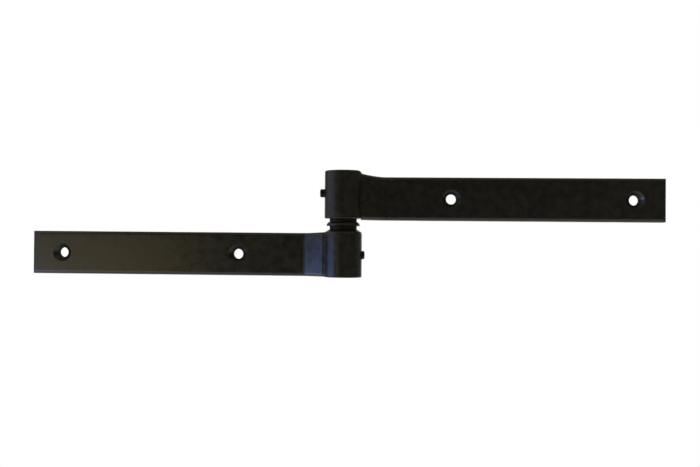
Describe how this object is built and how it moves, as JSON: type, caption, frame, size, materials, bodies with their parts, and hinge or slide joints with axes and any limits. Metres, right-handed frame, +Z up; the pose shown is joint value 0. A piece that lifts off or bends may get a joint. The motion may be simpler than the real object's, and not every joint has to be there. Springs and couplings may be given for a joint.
{
  "type": "shutter hinge",
  "caption": "Shutter hinge with two long cranked straps, a high and a low barrel on one pin, flanged bushes with a thrust washer between them, and set screws.",
  "frame": {"origin": "on the pin axis, at mid-height of the two barrels", "axes": "+Z up along the pin, +X along the straps towards the upper leaf's end, -Y to the front where the screw heads sit, +Y to the mounting face"},
  "size_m": [0.365, 0.0215, 0.0604],
  "materials": {
    "leaf_coating": "satin black coating over steel, slightly mottled",
    "pin_steel": "turned steel, blackened",
    "bush_plastic": "turned black plastic",
    "washer_coating": "satin black coating over steel",
    "screw_steel": "blackened alloy steel"
  },
  "bodies": {
    "lower": {"lower_leaf": "leaf_coating", "hinge_pin": "pin_steel", "lower_bush": "bush_plastic", "thrust_washer": "washer_coating", "lower_set_screw": "screw_steel"},
    "upper": {"upper_leaf": "leaf_coating", "upper_bush": "bush_plastic", "upper_set_screw": "screw_steel"}
  },
  "joints": [
    {"name": "leaf_swing", "type": "hinge", "parent": "lower", "child": "upper", "pos_m": [0, 0, 0], "axis": [0, 0, 1], "continuous": true}
  ]
}
